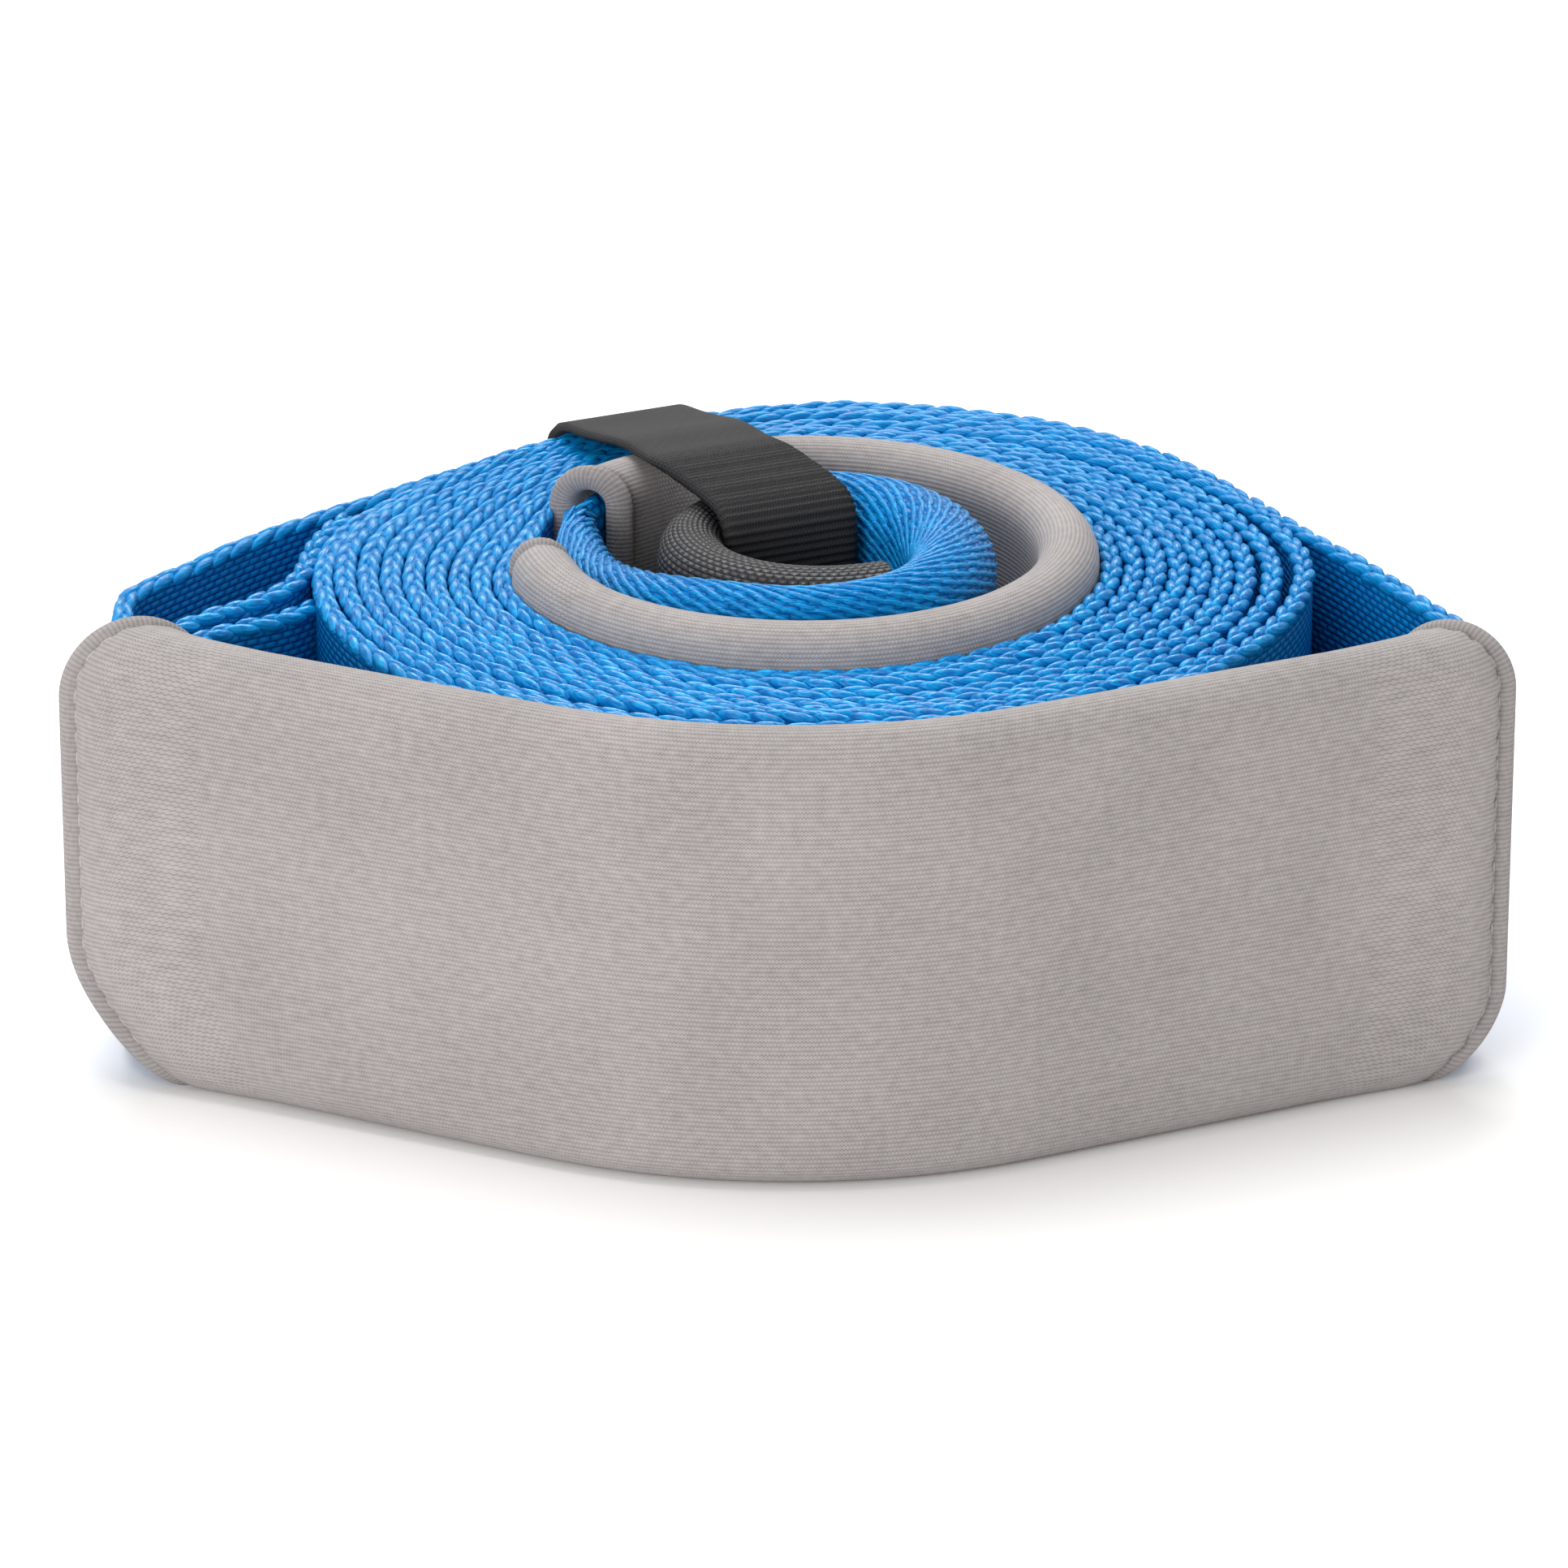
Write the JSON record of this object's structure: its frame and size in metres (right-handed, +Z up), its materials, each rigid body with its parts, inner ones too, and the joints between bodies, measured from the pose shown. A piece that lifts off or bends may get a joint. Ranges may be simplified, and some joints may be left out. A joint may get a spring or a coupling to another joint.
{
  "type": "tree saver strap",
  "caption": "Rolled flat webbing tree saver strap with a sewn eye, two padded sleeves and a hook-and-loop tie.",
  "frame": {"origin": "bottom centre of the whole roll's box, on the level surface it lies on", "axes": "+Z up along the roll's axis, +X along the padded front sleeve, +Y from the sleeve to the back of the roll"},
  "size_m": [0.2616, 0.1908, 0.0893],
  "materials": {
    "webbing": "woven glossy polyester",
    "neoprene": "fine jersey knit on soft foam",
    "eye_cover": "coarse woven nylon",
    "tie": "brushed loop and ribbed tape"
  },
  "bodies": {
    "root": {"webbing_strap": "webbing", "front_sleeve": "neoprene", "inner_sleeve": "neoprene", "inner_eye_cover": "eye_cover", "hook_and_loop_tie": "tie"}
  },
  "joints": []
}
